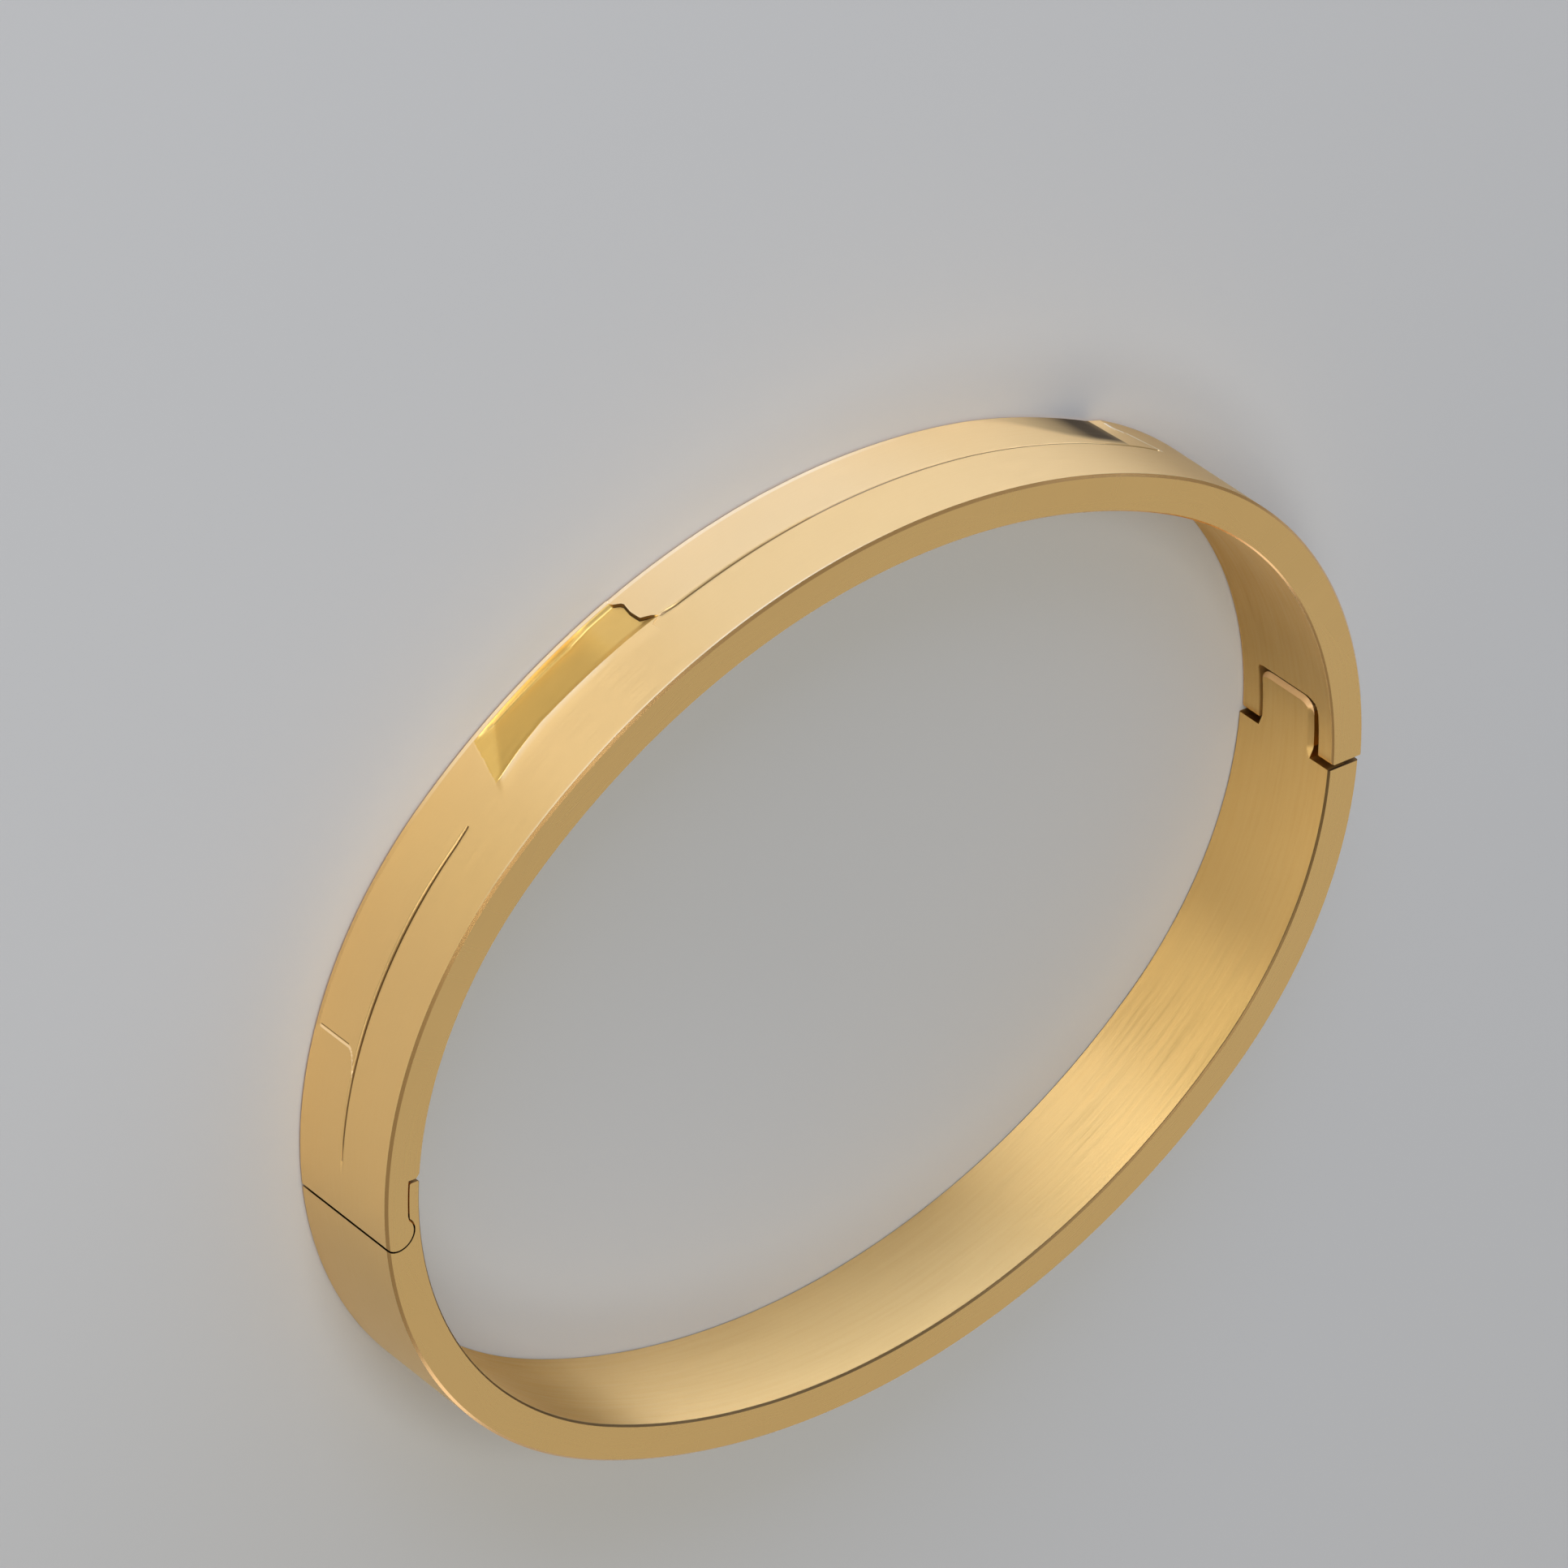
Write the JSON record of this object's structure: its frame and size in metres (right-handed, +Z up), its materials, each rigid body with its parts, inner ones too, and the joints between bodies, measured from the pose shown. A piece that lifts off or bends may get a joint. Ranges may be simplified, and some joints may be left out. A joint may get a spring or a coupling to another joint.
{
  "type": "hinged oval kada bangle",
  "caption": "Oval hinged bangle of flat gold-tone band, with a fine lengthwise groove, a scooped pocket in its lower lane, a hidden hinge and a tongue clasp.",
  "frame": {"origin": "on the surface that the bangle lies on, below the middle of its oval", "axes": "+X along the oval's long axis, from the hinge to the clasp; +Y towards the half with the groove and the pocket; +Z up, along the band's width, out of the plain lane's side face"},
  "size_m": [0.0644, 0.0532, 0.0073],
  "materials": {
    "gold_band": "satin-brushed gold-tone coating on stainless steel, polished on the chamfers and in the pocket",
    "pin_steel": "plain drawn steel"
  },
  "bodies": {
    "upper": {"upper_half": "gold_band", "hinge_pin": "pin_steel"},
    "lower": {"lower_half": "gold_band"}
  },
  "joints": [
    {"name": "hinge", "type": "hinge", "parent": "upper", "child": "lower", "pos_m": [-0.03128, 0.00175, 0.00365], "axis": [0, 0, -1], "range_deg": [0, 60]}
  ]
}
